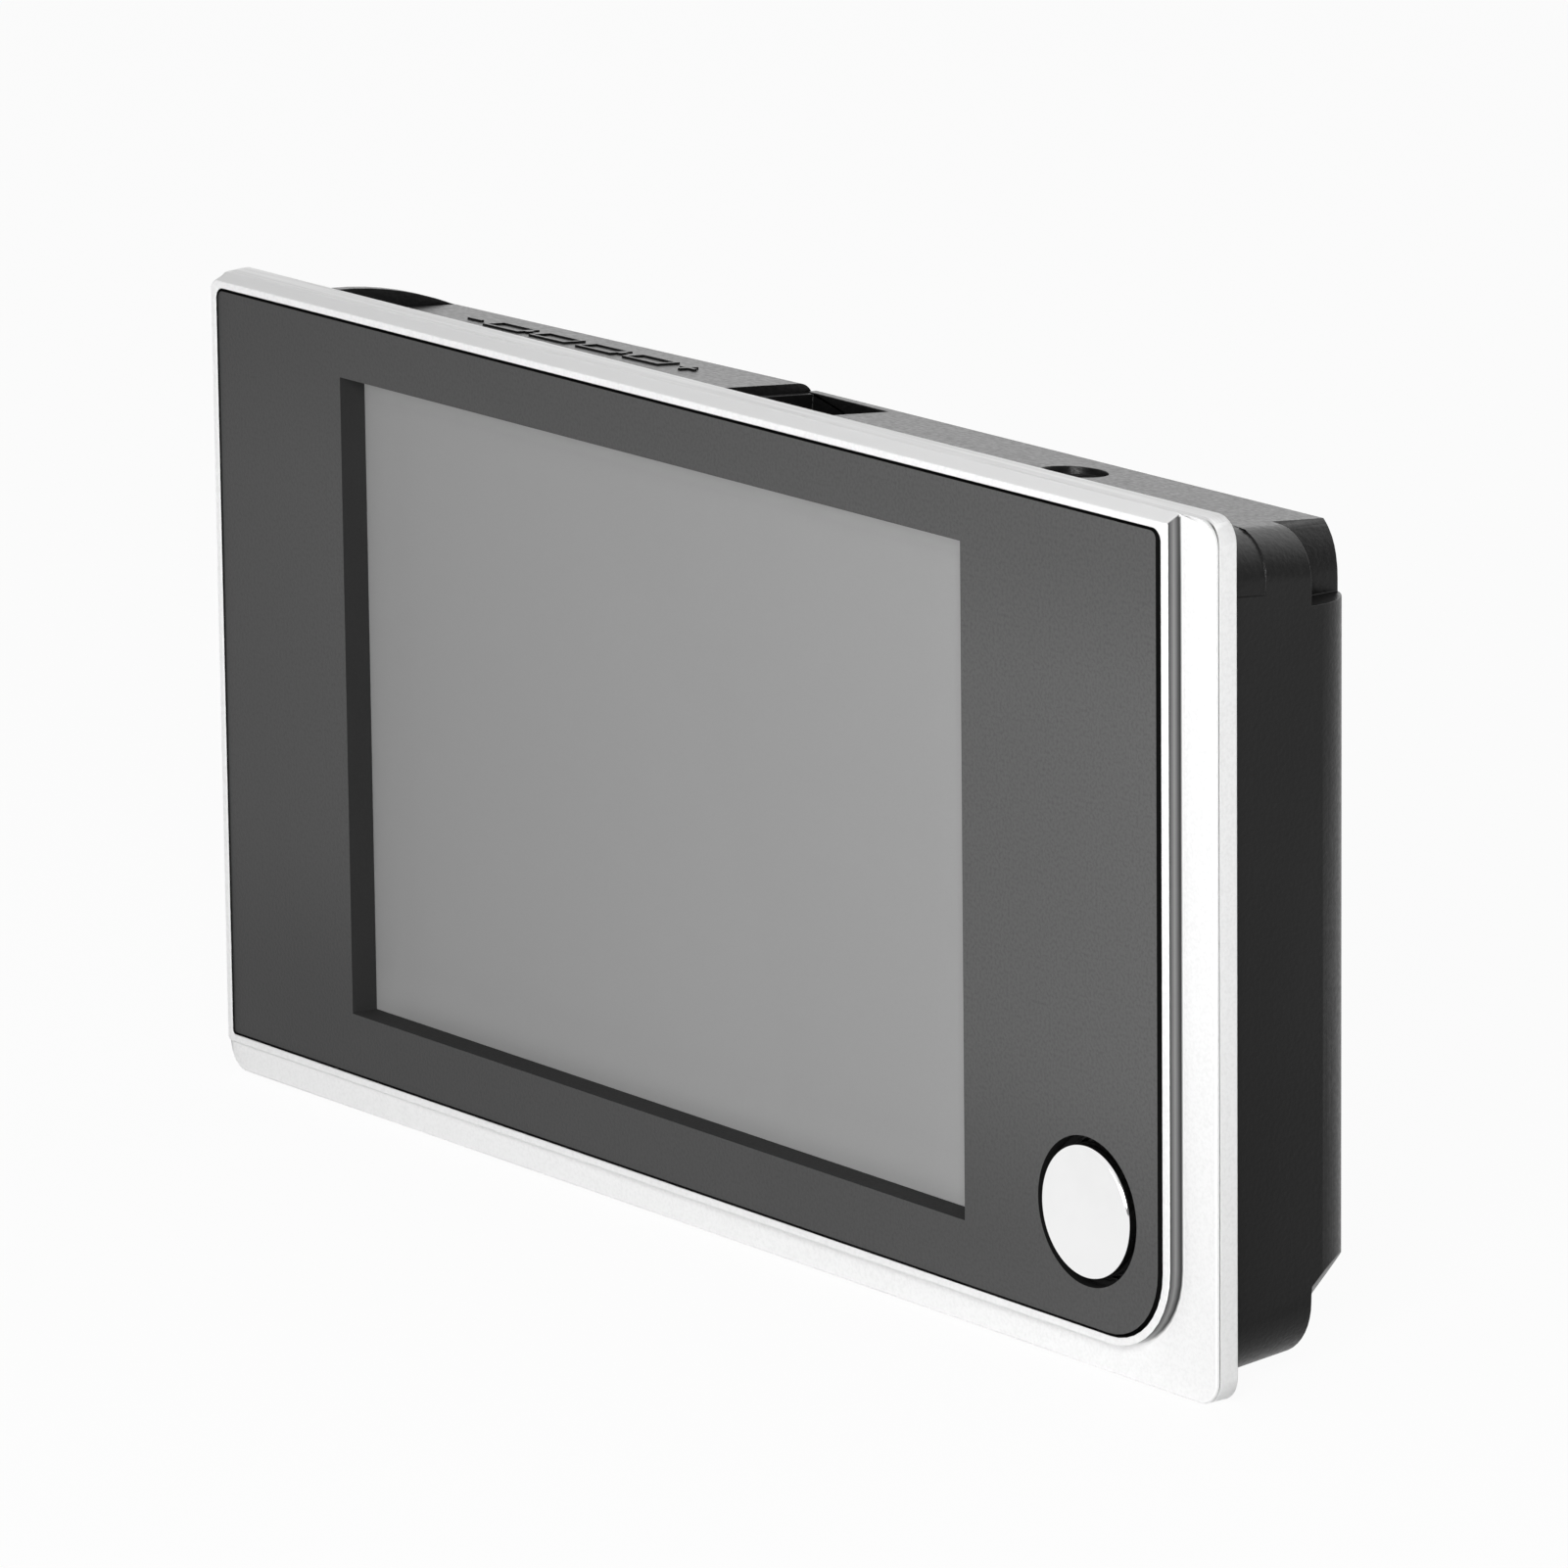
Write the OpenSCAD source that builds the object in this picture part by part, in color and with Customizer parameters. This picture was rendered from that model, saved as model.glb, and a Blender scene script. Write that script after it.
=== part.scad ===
// Indoor screen unit of a peephole door camera, built as separate pieces.
// Millimetres, +Z up. The screen faces -Y and the rear face lies on y = 0.

/* [Body] */
// Width across the front frame
body_w = 124.6; // [120:0.2:132]
// Height of the front frame
body_h = 66.6; // [66:0.2:72]
// Depth from the lip's front to the rear face
body_d = 16; // [16:0.1:18]

/* [Front frame] */
// Frame left of the panel
frame_left = 1.1; // [0.8:0.05:1.2]
// Frame right of the panel
frame_right = 4.9; // [4:0.1:5.5]
// Frame above the panel
frame_top = 1.4; // [1.2:0.05:1.6]
// Frame below the panel
frame_bottom = 3.5; // [3:0.1:4]
// Width of the raised lip round the panel
lip_w = 0.75; // [0.5:0.05:0.8]
// Extra lip width on the right
lip_right = 0.35; // [0.2:0.05:0.6]
// Height of the lip above the flange
lip_step = 1.2; // [0.8:0.1:1.4]
// Thickness of the flange at its edge
flange_t = 2.1; // [1.8:0.1:2.4]
// Outer corner radius of the frame
frame_r = 2; // [1.5:0.1:4]

/* [Face panel] */
// Thickness of the panel
panel_t = 1; // [0.8:0.1:1.2]
// How far the panel sits below the lip
panel_sink = 0.2; // [0.1:0.05:0.4]
// Small corner radius of the panel
panel_r = 0.8; // [0.5:0.1:2]
// Large corner radius beside the button
panel_big_r = 6; // [3:0.5:8]
// Panel left of the screen window
window_left = 16.6; // [16.5:0.1:18]
// Panel right of the screen window
window_right = 23.3; // [22.5:0.1:25]
// Panel above the screen window
window_top = 4.65; // [4.6:0.05:6]
// Panel below the screen window
window_bottom = 4.9; // [4.6:0.1:6]

/* [Button] */
// Diameter of the button cap
button_d = 10.4; // [8:0.2:10.6]
// Diameter of the button hole in the panel
button_hole_d = 11.5; // [11.2:0.1:12.5]
// Button centre from the panel's right edge
button_in = 8.8; // [8.4:0.1:9.2]
// Button centre from the panel's lower edge
button_up = 8.75; // [8.4:0.05:9.4]
// Height of the cap's dome
button_dome = 0.9; // [0.5:0.1:1.4]
// Travel of the button
button_travel = 0.4; // [0.2:0.05:0.4]

/* [Housing] */
// Radius of the housing's top corners
top_r = 3.7; // [3.2:0.1:4.4]
// Radius of the top corners beside the frame
front_r = 4.4; // [4.2:0.1:6.2]
// Radius of the housing's lower corners
floor_r = 4.8; // [4.2:0.1:5.6]
// Radius of its upright rear edges
rear_r = 4; // [3:0.1:4.5]
// Fall of the top and rise of the floor towards the rear, degrees
top_draft = 5; // [3:0.5:6]
// Wall thickness
wall = 1.6; // [1.4:0.1:1.8]
// Width of the slot in the middle of the top
slot_w = 10.3; // [9:0.1:12]
// Diameter of the power hole at the top face
power_hole_d = 5.2; // [4.9:0.1:5.6]
// Diameter of the power hole below its rim
power_bore_d = 4.6; // [4.2:0.1:4.7]
// Diameter of the lead hole in the back
lead_hole_d = 13; // [12:0.5:15]

/* [Bracket slots] */
// Distance between the slot columns
hook_dx = 34; // [30:1:36]
// Distance between the slot rows
hook_dz = 30; // [28:1:31]
// Width of a slot
hook_w = 3.2; // [2.6:0.1:3.6]
// Length of a slot
hook_l = 9; // [7:0.5:10]

/* [Battery] */
// Cell diameter
cell_d = 10.2; // [9.9:0.1:10.2]
// Cell length with its nub
cell_l = 44.5; // [43.5:0.1:44.6]
// Battery lid thickness
lid_t = 1; // [0.9:0.05:1.1]
// Rise of the lid's top towards its free end
lid_rise = 0.6; // [0.2:0.05:0.8]
// Radius of the lid's rear edge
lid_round = 1.5; // [1:0.1:1.8]

/* [Hidden] */
$fn = 40;
eps = 0.01;
// Clearance of the panel in the lip
panel_gap = 0.15;
// Further clearance cut from the panel's own edge
panel_inset = 0.2;
// Clearance of the lid in its rebate
lid_gap = 0.15;
// Clearance of a screw shank
screw_gap = 0.02;
// Clearance of the plunger in its switch
plunger_gap = 0.1;
// Depth planes from front to rear
front_y = -body_d;
panel_y = front_y + panel_sink;
panel_back = panel_y + panel_t;
tape_t = 0.2;
seat_y = panel_back + tape_t;
plate_t = 1.2;
lcd_y = seat_y + plate_t;
glass_t = 1.1;
tray_t = 1;
tray_y = lcd_y + glass_t;
lcd_back = tray_y + tray_t;
flange_y = front_y + lip_step;
joint_y = flange_y + flange_t;
// Panel edges
panel_x0 = -body_w / 2 + frame_left;
panel_x1 = body_w / 2 - frame_right;
panel_z0 = -body_h / 2 + frame_bottom;
panel_z1 = body_h / 2 - frame_top;
// Window edges
win_x0 = panel_x0 + window_left;
win_x1 = panel_x1 - window_right;
win_z0 = panel_z0 + window_bottom;
win_z1 = panel_z1 - window_top;
// Button centre
btn_x = panel_x1 - button_in;
btn_z = panel_z0 + button_up;
// Housing edges
side_x = body_w / 2 - 0.8;
floor_z = -body_h / 2 + 0.7;
top_z = body_h / 2 - 1.65;
// Display outline
lcd_x0 = win_x0 - 2.4;
lcd_x1 = win_x1 + 2.4;
lcd_z0 = win_z0 - 2;
lcd_z1 = win_z1 + 1.1;
gasket_w = 1.6;
// Skirt of the front frame inside the housing
skirt_gap = 0.2;
skirt_t = 0.9;
skirt_l = 2;
skirt_x = side_x - wall - skirt_gap;
skirt_z0 = floor_z + wall + skirt_gap + 0.25;
skirt_z1 = top_z - wall - skirt_gap - 0.25;
skirt_r = 4;
// Battery bays
bay_gap = 0.1;
bay_r = cell_d / 2 + bay_gap;
bay_skin = 0.7;
bay_y = -bay_skin - bay_r;
bay_pitch = cell_d + 0.3;
bay_mid = -body_w / 2 + 34.35;
bay_x = [for (i = [0:3]) bay_mid + (i - 1.5) * bay_pitch];
box_x0 = bay_mid - 23.65;
box_x1 = bay_mid + 21.75;
box_y0 = -10.2;
// Reference line beside the battery box, and the middle of the slot in the top
slot_x = bay_mid + 27.95;
slot_mid = slot_x + 1.7;
lid_x0 = bay_mid - 21;
lid_x1 = slot_mid - slot_w / 2 - 0.05;
lid_y0 = bay_y - bay_r - 0.5;
lid_y1 = -0.1;
lid_under_z = top_z - lid_t - (bay_y - joint_y) * tan(top_draft);
contact_t = 0.3;
// Half the width of a contact plate under the lid
plate_half = 3.6;
nub_d = 4.2;
nub_h = 0.9;
// Cells with the nub up hang from the lid's plate, the others stand on the floor's plate
up_top = lid_under_z - contact_t - nub_d / 2 * tan(top_draft) - 0.1;
up_base = up_top - cell_l;
spring_h = 3.9;
bay_z = up_base - 0.05 - spring_h - contact_t;
down_base = bay_z + contact_t + 0.05;
down_top = down_base + cell_l;
box_z0 = bay_z - 1.5;
spring_wire_r = 0.25;
spring_r0 = 3.9;
spring_r1 = 2.6;
spring_turns = 3.2;
spring_steps = 14;
spring_sides = 6;
// Main board
board_t = 1.2;
board_y = -8.6;
board_back = board_y + board_t;
board_x0 = slot_x - 4.8;
board_x1 = side_x - 9.1;
board_z0 = floor_z + 4.9;
board_z1 = top_z - 6.15;
board_posts = [[board_x0 + 3.3, board_z1 - 3.5], [board_x1 - 2.9, 4], [board_x0 + 3.3, board_z0 + 3.6],
  [btn_x - 10.6, board_z0 + 3.6]];
post_r = 2.5;
// Case screws
case_x = side_x - 5.2;
case_z = 14;
case_posts = [[-case_x, case_z], [case_x, case_z], [-case_x, -case_z], [case_x, -case_z]];
case_post_r = 3.3;
case_seat_y = -3.2;
case_split_y = -7.9;
screw_r = 1;
head_r = 2;
head_h = 1.4;
// Bracket slots and lead hole
hook_x = slot_x + 22;
hook_z = 0;
// Power socket
power_x = slot_x + 34.2;
power_y = -5;
power_low_z = top_z - 3.05;
power_step_z = top_z - 1.45;
// Button and switch
cap_r = button_d / 2;
flange_r = cap_r + 1.2;
bezel_hole_r = cap_r + 0.3;
cap_rim_y = panel_y - 0.25;
stem_y = -12.5;
plunger_r = 1.75;
switch_w = 6;
switch_y = stem_y + button_travel + 0.1;
// Corner pockets and corner cuts of the housing
pocket_y = -5;
pocket_z = top_z - 6.2;
pocket_r = 5.7;
pocket_arc_x = side_x - 2.7 - pocket_r;
pocket_arc_z = top_z - 4.19;
cut_n = [0.67, 0.46, -0.58];
cut_at = [side_x, pocket_y, floor_z + 6.7];
// Rear end of the fuller top corners
step_y = -9;
// Rib at the lid's hooked end, and the lowered top beyond it
rib_x0 = lid_x0 - lid_gap - 1;
rib_x1 = lid_x0 - lid_gap;
end_drop = 0.4;
// Ledge in the top slot at the lid's free end
ledge_x = lid_x1 + 0.95;
ledge_drop = 0.1;
slot_depth = 2.2;
slot_y0 = -8.5;
slot_y1 = -0.9;

module slab(x0, x1, y0, y1, z0, z1) {
  translate([x0, y0, z0])
    cube([x1 - x0, y1 - y0, z1 - z0]);
}

module rod_y(x, z, y0, y1, r) {
  translate([x, y0, z])
    rotate([-90, 0, 0])
      cylinder(h = y1 - y0, r = r);
}

module round_y(x0, x1, y0, y1, z0, z1, r) {
  slab(x0 + r, x1 - r, y0, y1, z0, z1);
  slab(x0, x1, y0, y1, z0 + r, z1 - r);
  for (x = [x0 + r, x1 - r])
    for (z = [z0 + r, z1 - r])
      rod_y(x, z, y0, y1, r);
}

module round_rear(x0, x1, y0, y1, z0, z1, r) {
  slab(x0, x1, y0, y1 - r, z0, z1);
  slab(x0 + r, x1 - r, y0, y1, z0, z1);
  for (x = [x0 + r, x1 - r])
    translate([x, y1 - r, z0])
      cylinder(h = z1 - z0, r = r);
}

// Plate with three small corners and a large one at the lower right
module face_plate(grow, y0, y1, right = 0) {
  big = panel_big_r + grow + right;
  x1 = panel_x1 + grow + right;
  z0 = panel_z0 - grow;
  difference() {
    round_y(panel_x0 - grow, x1, y0, y1, z0, panel_z1 + grow, max(panel_r + grow, 0.3));
    slab(x1 - big, x1 + 1, y0 - 1, y1 + 1, z0 - 1, z0 + big);
  }
  intersection() {
    rod_y(x1 - big, z0 + big, y0, y1, big);
    slab(x1 - big, x1 + 1, y0 - 1, y1 + 1, z0 - 1, z0 + big);
  }
}

module window(grow, y0, y1) {
  slab(win_x0 - grow, win_x1 + grow, y0, y1, win_z0 - grow, win_z1 + grow);
}

// Puts the children on the falling top of the housing
module on_top() {
  translate([0, joint_y, top_z])
    rotate([-top_draft, 0, 0])
      translate([0, -joint_y, -top_z])
        children();
}

// Puts the children on the rising floor of the housing
module on_floor() {
  translate([0, joint_y, floor_z])
    rotate([top_draft, 0, 0])
      translate([0, -joint_y, -floor_z])
        children();
}

module tub_form(inset, y0, y1, corner_r) {
  x = side_x - inset;
  intersection() {
    on_floor()
      round_y(-x, x, y0 - 10, y1 + 10, floor_z + inset, top_z + 30, floor_r - inset);
    on_top()
      round_y(-x, x, y0 - 10, y1 + 10, floor_z - 30, top_z - inset, corner_r - inset);
    round_rear(-x, x, y0, y1, floor_z - 10, top_z + 10, rear_r - inset);
  }
}

module front_bezel() {
  color([0.86, 0.87, 0.88])
  difference() {
    union() {
      round_y(-body_w / 2, body_w / 2, flange_y, joint_y, -body_h / 2, body_h / 2, frame_r);
      face_plate(lip_w, front_y, flange_y + eps, lip_right);
      round_y(-skirt_x, skirt_x, joint_y - eps, joint_y + skirt_l, skirt_z0, skirt_z1, skirt_r);
      for (p = case_posts)
        rod_y(p[0], p[1], lcd_y, case_split_y, 2.8);
    }
    difference() {
      round_y(skirt_t - skirt_x, skirt_x - skirt_t, lcd_y, joint_y + skirt_l + 1, skirt_z0 + skirt_t,
        skirt_z1 - skirt_t, skirt_r - skirt_t);
      for (p = case_posts)
        rod_y(p[0], p[1], lcd_y - 1, case_split_y + 1, 2.8);
      for (x = [lcd_x0 - 1.9, lcd_x1 + 1.1])
        slab(x, x + 0.8, lcd_y - 1, lcd_back - 0.3, -18, 18);
    }
    face_plate(panel_gap, front_y - 1, seat_y);
    window(gasket_w, seat_y - 1, lcd_y + 1);
    rod_y(btn_x, btn_z, seat_y - 1, lcd_y + 1, bezel_hole_r);
    for (p = case_posts)
      rod_y(p[0], p[1], lcd_y + 0.6, case_split_y + 1, screw_r + screw_gap);
  }
}

module face_panel() {
  color([0.2, 0.2, 0.21])
  difference() {
    face_plate(-panel_inset, panel_y, panel_back);
    window(0, panel_y - 1, panel_back + 1);
    rod_y(btn_x, btn_z, panel_y - 1, panel_back + 1, button_hole_d / 2);
  }
}

module panel_tape() {
  color([0.1, 0.1, 0.1])
  difference() {
    face_plate(-0.5, panel_back, seat_y);
    window(gasket_w, panel_back - 1, seat_y + 1);
    rod_y(btn_x, btn_z, panel_back - 1, seat_y + 1, button_hole_d / 2 + 0.4);
  }
}

module screen_gasket() {
  color([0.07, 0.07, 0.07])
  difference() {
    window(gasket_w - 0.1, panel_back, lcd_y);
    window(0.02, panel_back - 1, lcd_y + 1);
  }
}

module lcd_glass() {
  color([0.6, 0.61, 0.62])
  slab(lcd_x0, lcd_x1, lcd_y, tray_y, lcd_z0, lcd_z1);
}

module lcd_tray() {
  color([0.75, 0.76, 0.78])
  difference() {
    slab(lcd_x0 - 0.7, lcd_x1 + 0.7, lcd_y + 0.2, lcd_back, lcd_z0 - 0.7, lcd_z1 + 0.25);
    slab(lcd_x0 - 0.15, lcd_x1 + 0.15, lcd_y - 1, tray_y, lcd_z0 - 0.15, lcd_z1 + 0.1);
    slab(flex_x0 - 1, flex_x1 + 1, lcd_y - 1, tray_y + 0.3, lcd_z0 - 2, lcd_z0);
  }
}

flex_x0 = slot_x + 3;
flex_x1 = slot_x + 21;
flex_t = 0.2;
flex_y0 = tray_y - flex_t / 2;
flex_y1 = -9.7;
flex_mid = (flex_y0 + flex_y1) / 2;
flex_r = (flex_y1 - flex_y0) / 2;
flex_z = lcd_z0 - 0.6;
flex_end = lcd_z0 + 7.4;

module lcd_flex() {
  color([0.75, 0.5, 0.2]) {
    slab(flex_x0, flex_x1, flex_y0 - flex_t / 2, flex_y0 + flex_t / 2, flex_z, lcd_z0 - 0.05);
    translate([flex_x0, flex_mid, flex_z])
      rotate([0, 90, 0])
        rotate([0, 0, -90])
          rotate_extrude(angle = 180)
            translate([flex_r - flex_t / 2, 0])
              square([flex_t, flex_x1 - flex_x0]);
    slab(flex_x0, flex_x1, flex_y1 - flex_t / 2, flex_y1 + flex_t / 2, flex_z, flex_end);
  }
}

module insulation_sheet() {
  color([0.95, 0.92, 0.8])
  slab(lcd_x0 - 0.5, box_x1, lcd_back, lcd_back + 0.12, bay_z, lcd_z1);
}

module main_board() {
  color([0.05, 0.35, 0.15])
  difference() {
    slab(board_x0, board_x1, board_y, board_back, board_z0, board_z1);
    for (p = board_posts)
      rod_y(p[0], p[1], board_y - 1, board_back + 1, screw_r + 0.15);
  }
}

module display_connector() {
  color([0.9, 0.88, 0.8])
  difference() {
    slab(flex_x0 - 1.5, flex_x1 + 1.5, board_y - 1.7, board_y, flex_end - 2.5, flex_end + 1.5);
    slab(flex_x0 - 0.2, flex_x1 + 0.2, flex_y1 - 0.25, flex_y1 + 0.25, flex_end - 4, flex_end + 0.1);
  }
}

module video_processor() {
  color([0.12, 0.12, 0.13])
  slab(slot_x + 14, slot_x + 28, board_back, board_back + 1.2, board_z1 - 18.5, board_z1 - 4.5);
}

module memory_chip() {
  color([0.12, 0.12, 0.13])
  slab(slot_x + 28.5, slot_x + 34.5, board_back, board_back + 1, board_z1 - 24.5, board_z1 - 19.5);
}

module power_coil() {
  color([0.25, 0.25, 0.27])
  rod_y(slot_x + 14, -12, board_back, board_back + 3, 3.5);
}

module capacitors() {
  color([0.7, 0.7, 0.72])
  for (z = [-8, -14])
    rod_y(slot_x + 25, z, board_back, board_back + 4.4, 2.5);
}

module clock_crystal() {
  color([0.8, 0.8, 0.78])
  round_y(slot_x + 29, slot_x + 40, board_back, board_back + 3.2, -13, -8.6, 2.1);
}

module lead_socket() {
  color([0.92, 0.9, 0.84])
  difference() {
    slab(hook_x - 5.5, hook_x + 5.5, board_back, -2.4, hook_z - 3, hook_z + 3);
    slab(hook_x - 4.5, hook_x + 4.5, board_back + 0.9, 0, hook_z - 2.1, hook_z + 2.1);
  }
}

module power_socket() {
  color([0.1, 0.1, 0.1])
  difference() {
    slab(power_x - 4.5, power_x + 4.5, board_back, -2.3, board_z1 - 9, board_z1 + 2.2);
    translate([power_x, power_y, board_z1 - 7])
      cylinder(h = 20, r = 1.8);
  }
}

module button_switch() {
  color([0.15, 0.15, 0.16])
  difference() {
    slab(btn_x - switch_w / 2, btn_x + switch_w / 2, switch_y, board_y, btn_z - switch_w / 2,
      btn_z + switch_w / 2);
    rod_y(btn_x, btn_z, switch_y - 1, switch_y + 2.2, plunger_r + plunger_gap);
  }
}

module switch_plunger() {
  color([0.8, 0.75, 0.5])
  rod_y(btn_x, btn_z, stem_y, stem_y + 1.9, plunger_r);
}

// Round domed cap with a flange behind the frame and a stem on the switch
dome_r = (cap_r * cap_r + button_dome * button_dome) / (2 * button_dome);
dome_top = cap_rim_y - button_dome;

module view_button() {
  color([0.9, 0.91, 0.92]) {
    intersection() {
      rod_y(btn_x, btn_z, dome_top - 1, cap_rim_y + 0.02, cap_r);
      translate([btn_x, dome_top + dome_r, btn_z])
        sphere(r = dome_r, $fn = 120);
    }
    rod_y(btn_x, btn_z, cap_rim_y, lcd_y + 0.3, cap_r);
    rod_y(btn_x, btn_z, lcd_y + 0.1, lcd_y + 0.7, flange_r);
    rod_y(btn_x, btn_z, lcd_y + 0.6, stem_y, 2.2);
  }
}

module hook_slot(x, z) {
  slab(x - hook_w / 2, x + hook_w / 2, -wall - 1, 1, z - (hook_l - hook_w) / 2, z + (hook_l - hook_w) / 2);
  for (s = [-1, 1])
    rod_y(x, z + s * (hook_l - hook_w) / 2, -wall - 1, 1, hook_w / 2);
}

// Pocket in an upper rear corner, with a rounded inner wall
module corner_pocket() {
  difference() {
    slab(pocket_arc_x, side_x + 5, pocket_y, 5, pocket_z, top_z + 10);
    on_top() {
      rod_y(pocket_arc_x, pocket_arc_z, pocket_y - 5, 10, pocket_r);
      slab(0, pocket_arc_x + pocket_r, pocket_y - 5, 10, pocket_arc_z - 10, pocket_arc_z);
    }
  }
}

// Fuller rounding of a top corner beside the frame
module front_corner() {
  c = front_r + 0.03;
  on_top()
    difference() {
      slab(side_x - c, side_x + 5, joint_y - 3, step_y, top_z - c, top_z + 5);
      rod_y(side_x - c, top_z - c, joint_y - 5, step_y + 2, front_r);
    }
}

// Slanting cut across a lower rear corner
module corner_cut() {
  intersection() {
    slab(side_x - 30, side_x + 10, pocket_y, 5, floor_z - 10, floor_z + 30);
    translate(cut_at)
      rotate([0, acos(cut_n[2] / norm(cut_n)), atan2(cut_n[1], cut_n[0])])
        translate([-50, -50, 0])
          cube([100, 100, 60]);
  }
}

module bays() {
  for (x = bay_x)
    translate([x, bay_y, bay_z])
      cylinder(h = 80, r = bay_r, $fn = 64);
  slab(bay_x[0], bay_x[3], bay_y - 2.6, bay_y + 2.6, bay_z, bay_z + 80);
}

// Wide recess over the bays for the lid's contact plates
module contact_recess() {
  on_top()
    slab(bay_x[0] - 4.6, bay_x[3] + 4.6, bay_y - plate_half - 0.4, bay_y + plate_half + 0.4,
      top_z - lid_t - contact_t - 0.3, top_z - lid_t + eps);
}

// Upright rib that the lid's hooked end sits against
module hook_rib() {
  intersection() {
    slab(rib_x0, rib_x1, joint_y + 0.1, -0.6, top_z - 1.5, top_z + 5);
    translate([rib_x0 - 5, -14.1, top_z - 30.18])
      rotate([0, 90, 0])
        cylinder(h = 12, r = 31.8, $fn = 240);
  }
}

module rear_housing() {
  color([0.13, 0.13, 0.14])
  difference() {
    union() {
      difference() {
        tub_form(0, joint_y, 0, top_r);
        tub_form(wall, joint_y - 1, -wall, front_r);
      }
      intersection() {
        tub_form(0.3, joint_y, 0, top_r);
        union() {
          slab(box_x0, box_x1, box_y0, 0, box_z0, top_z + 5);
          for (s = [-1, 1]) {
            slab(s * side_x - 7, s * side_x + 7, pocket_y - wall, 0, pocket_z - wall, top_z + 5);
            slab(s * side_x - 10, s * side_x + 10, pocket_y - wall, 0, floor_z - 5, floor_z + 12.5);
          }
          for (p = board_posts)
            rod_y(p[0], p[1], board_back, 0, post_r);
          for (p = case_posts)
            rod_y(p[0], p[1], case_split_y, 0, case_post_r);
          translate([power_x, power_y, power_low_z])
            cylinder(h = 10, r = 4);
        }
      }
      hook_rib();
    }
    bays();
    contact_recess();
    front_corner();
    mirror([1, 0, 0])
      front_corner();
    on_top() {
      slab(lid_x0 - lid_gap, lid_x1 + lid_gap, lid_y0 - lid_gap, 5, top_z - lid_t, top_z + 0.5);
      slab(lid_x0 - 1.7, lid_x0 + 3, -8.2, -3.8, top_z - lid_t - 2, top_z - lid_t + eps);
      slab(ledge_x, slot_mid + slot_w / 2, slot_y0, slot_y1, top_z - slot_depth, top_z + 5);
      slab(lid_x1, ledge_x + eps, slot_y0, slot_y1, top_z - ledge_drop, top_z + 5);
      slab(-side_x - 5, rib_x0, joint_y - 3, 5, top_z - end_drop, top_z + 5);
    }
    translate([power_x, power_y, power_low_z - 1])
      cylinder(h = 10, r = power_bore_d / 2);
    translate([power_x, power_y, power_step_z])
      cylinder(h = 10, r = power_hole_d / 2);
    corner_pocket();
    mirror([1, 0, 0])
      corner_pocket();
    corner_cut();
    mirror([1, 0, 0])
      corner_cut();
    rod_y(hook_x, hook_z, -wall - 1, 1, lead_hole_d / 2);
    for (x = [hook_x - hook_dx / 2, hook_x + hook_dx / 2])
      for (z = [hook_z - hook_dz / 2, hook_z + hook_dz / 2])
        hook_slot(x, z);
    for (p = board_posts)
      rod_y(p[0], p[1], board_back - 1, board_back + 4.6, screw_r + screw_gap);
    for (p = case_posts) {
      rod_y(p[0], p[1], case_split_y - 1, 1, screw_r + 0.2);
      rod_y(p[0], p[1], case_seat_y, 1, head_r + 0.4);
    }
    for (x = [bay_x[0], bay_x[3]])
      slab(x - 1.7, x + 1.7, bay_y - 0.5, bay_y + 0.5, box_z0 - 1, bay_z + 1);
  }
}

// Space under the lid's top face, which rises towards the free end and rolls over at the rear
module lid_form() {
  lid_l = lid_x1 - lid_x0;
  translate([lid_x0, 0, top_z])
    rotate([0, -atan(lid_rise / lid_l), 0])
      translate([-lid_x0, 0, -top_z]) {
        slab(lid_x0 - 1, lid_x1 + 3, lid_y0 - 1, lid_y1 - lid_round, top_z - 6, top_z);
        slab(lid_x0 - 1, lid_x1 + 3, lid_y0 - 1, lid_y1, top_z - 6, top_z - lid_round);
        translate([lid_x0 - 1, lid_y1 - lid_round, top_z - lid_round])
          rotate([0, 90, 0])
            cylinder(h = lid_l + 4, r = lid_round);
      }
}

// Lid with a round pivot edge at its left end and a tongue under the housing's rim
module battery_lid() {
  edge_r = lid_t / 2;
  color([0.14, 0.14, 0.15])
  on_top() {
    intersection() {
      union() {
        slab(lid_x0 + edge_r, lid_x1, lid_y0, lid_y1, top_z - lid_t, top_z + 2);
        rod_y(lid_x0 + edge_r, top_z - edge_r, lid_y0, lid_y1, edge_r);
      }
      lid_form();
    }
    slab(lid_x0 - 1.4, lid_x0 + 1.2, -8, -4, top_z - lid_t - 0.9, top_z - lid_t - 0.1);
    slab(lid_x0 + 0.6, lid_x0 + 1.2, -8, -4, top_z - lid_t - 0.9, top_z - lid_t + eps);
  }
}

module cell_up(x) {
  translate([x, bay_y, up_base])
    cylinder(h = cell_l - nub_h, r = cell_d / 2, $fn = 64);
  translate([x, bay_y, up_top - nub_h - eps])
    cylinder(h = nub_h + eps, r = nub_d / 2);
}

module cell_down(x) {
  translate([x, bay_y, down_base + nub_h])
    cylinder(h = cell_l - nub_h, r = cell_d / 2, $fn = 64);
  translate([x, bay_y, down_base])
    cylinder(h = nub_h + eps, r = nub_d / 2);
}

module battery_cells() {
  color([0.2, 0.45, 0.25]) {
    cell_down(bay_x[0]);
    cell_up(bay_x[1]);
    cell_down(bay_x[2]);
    cell_up(bay_x[3]);
  }
}

module lid_contacts() {
  color([0.8, 0.8, 0.8])
  on_top()
    for (i = [0, 2])
      slab(bay_x[i] - 4, bay_x[i + 1] + 4, bay_y - plate_half, bay_y + plate_half, top_z - lid_t - contact_t,
        top_z - lid_t);
}

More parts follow.
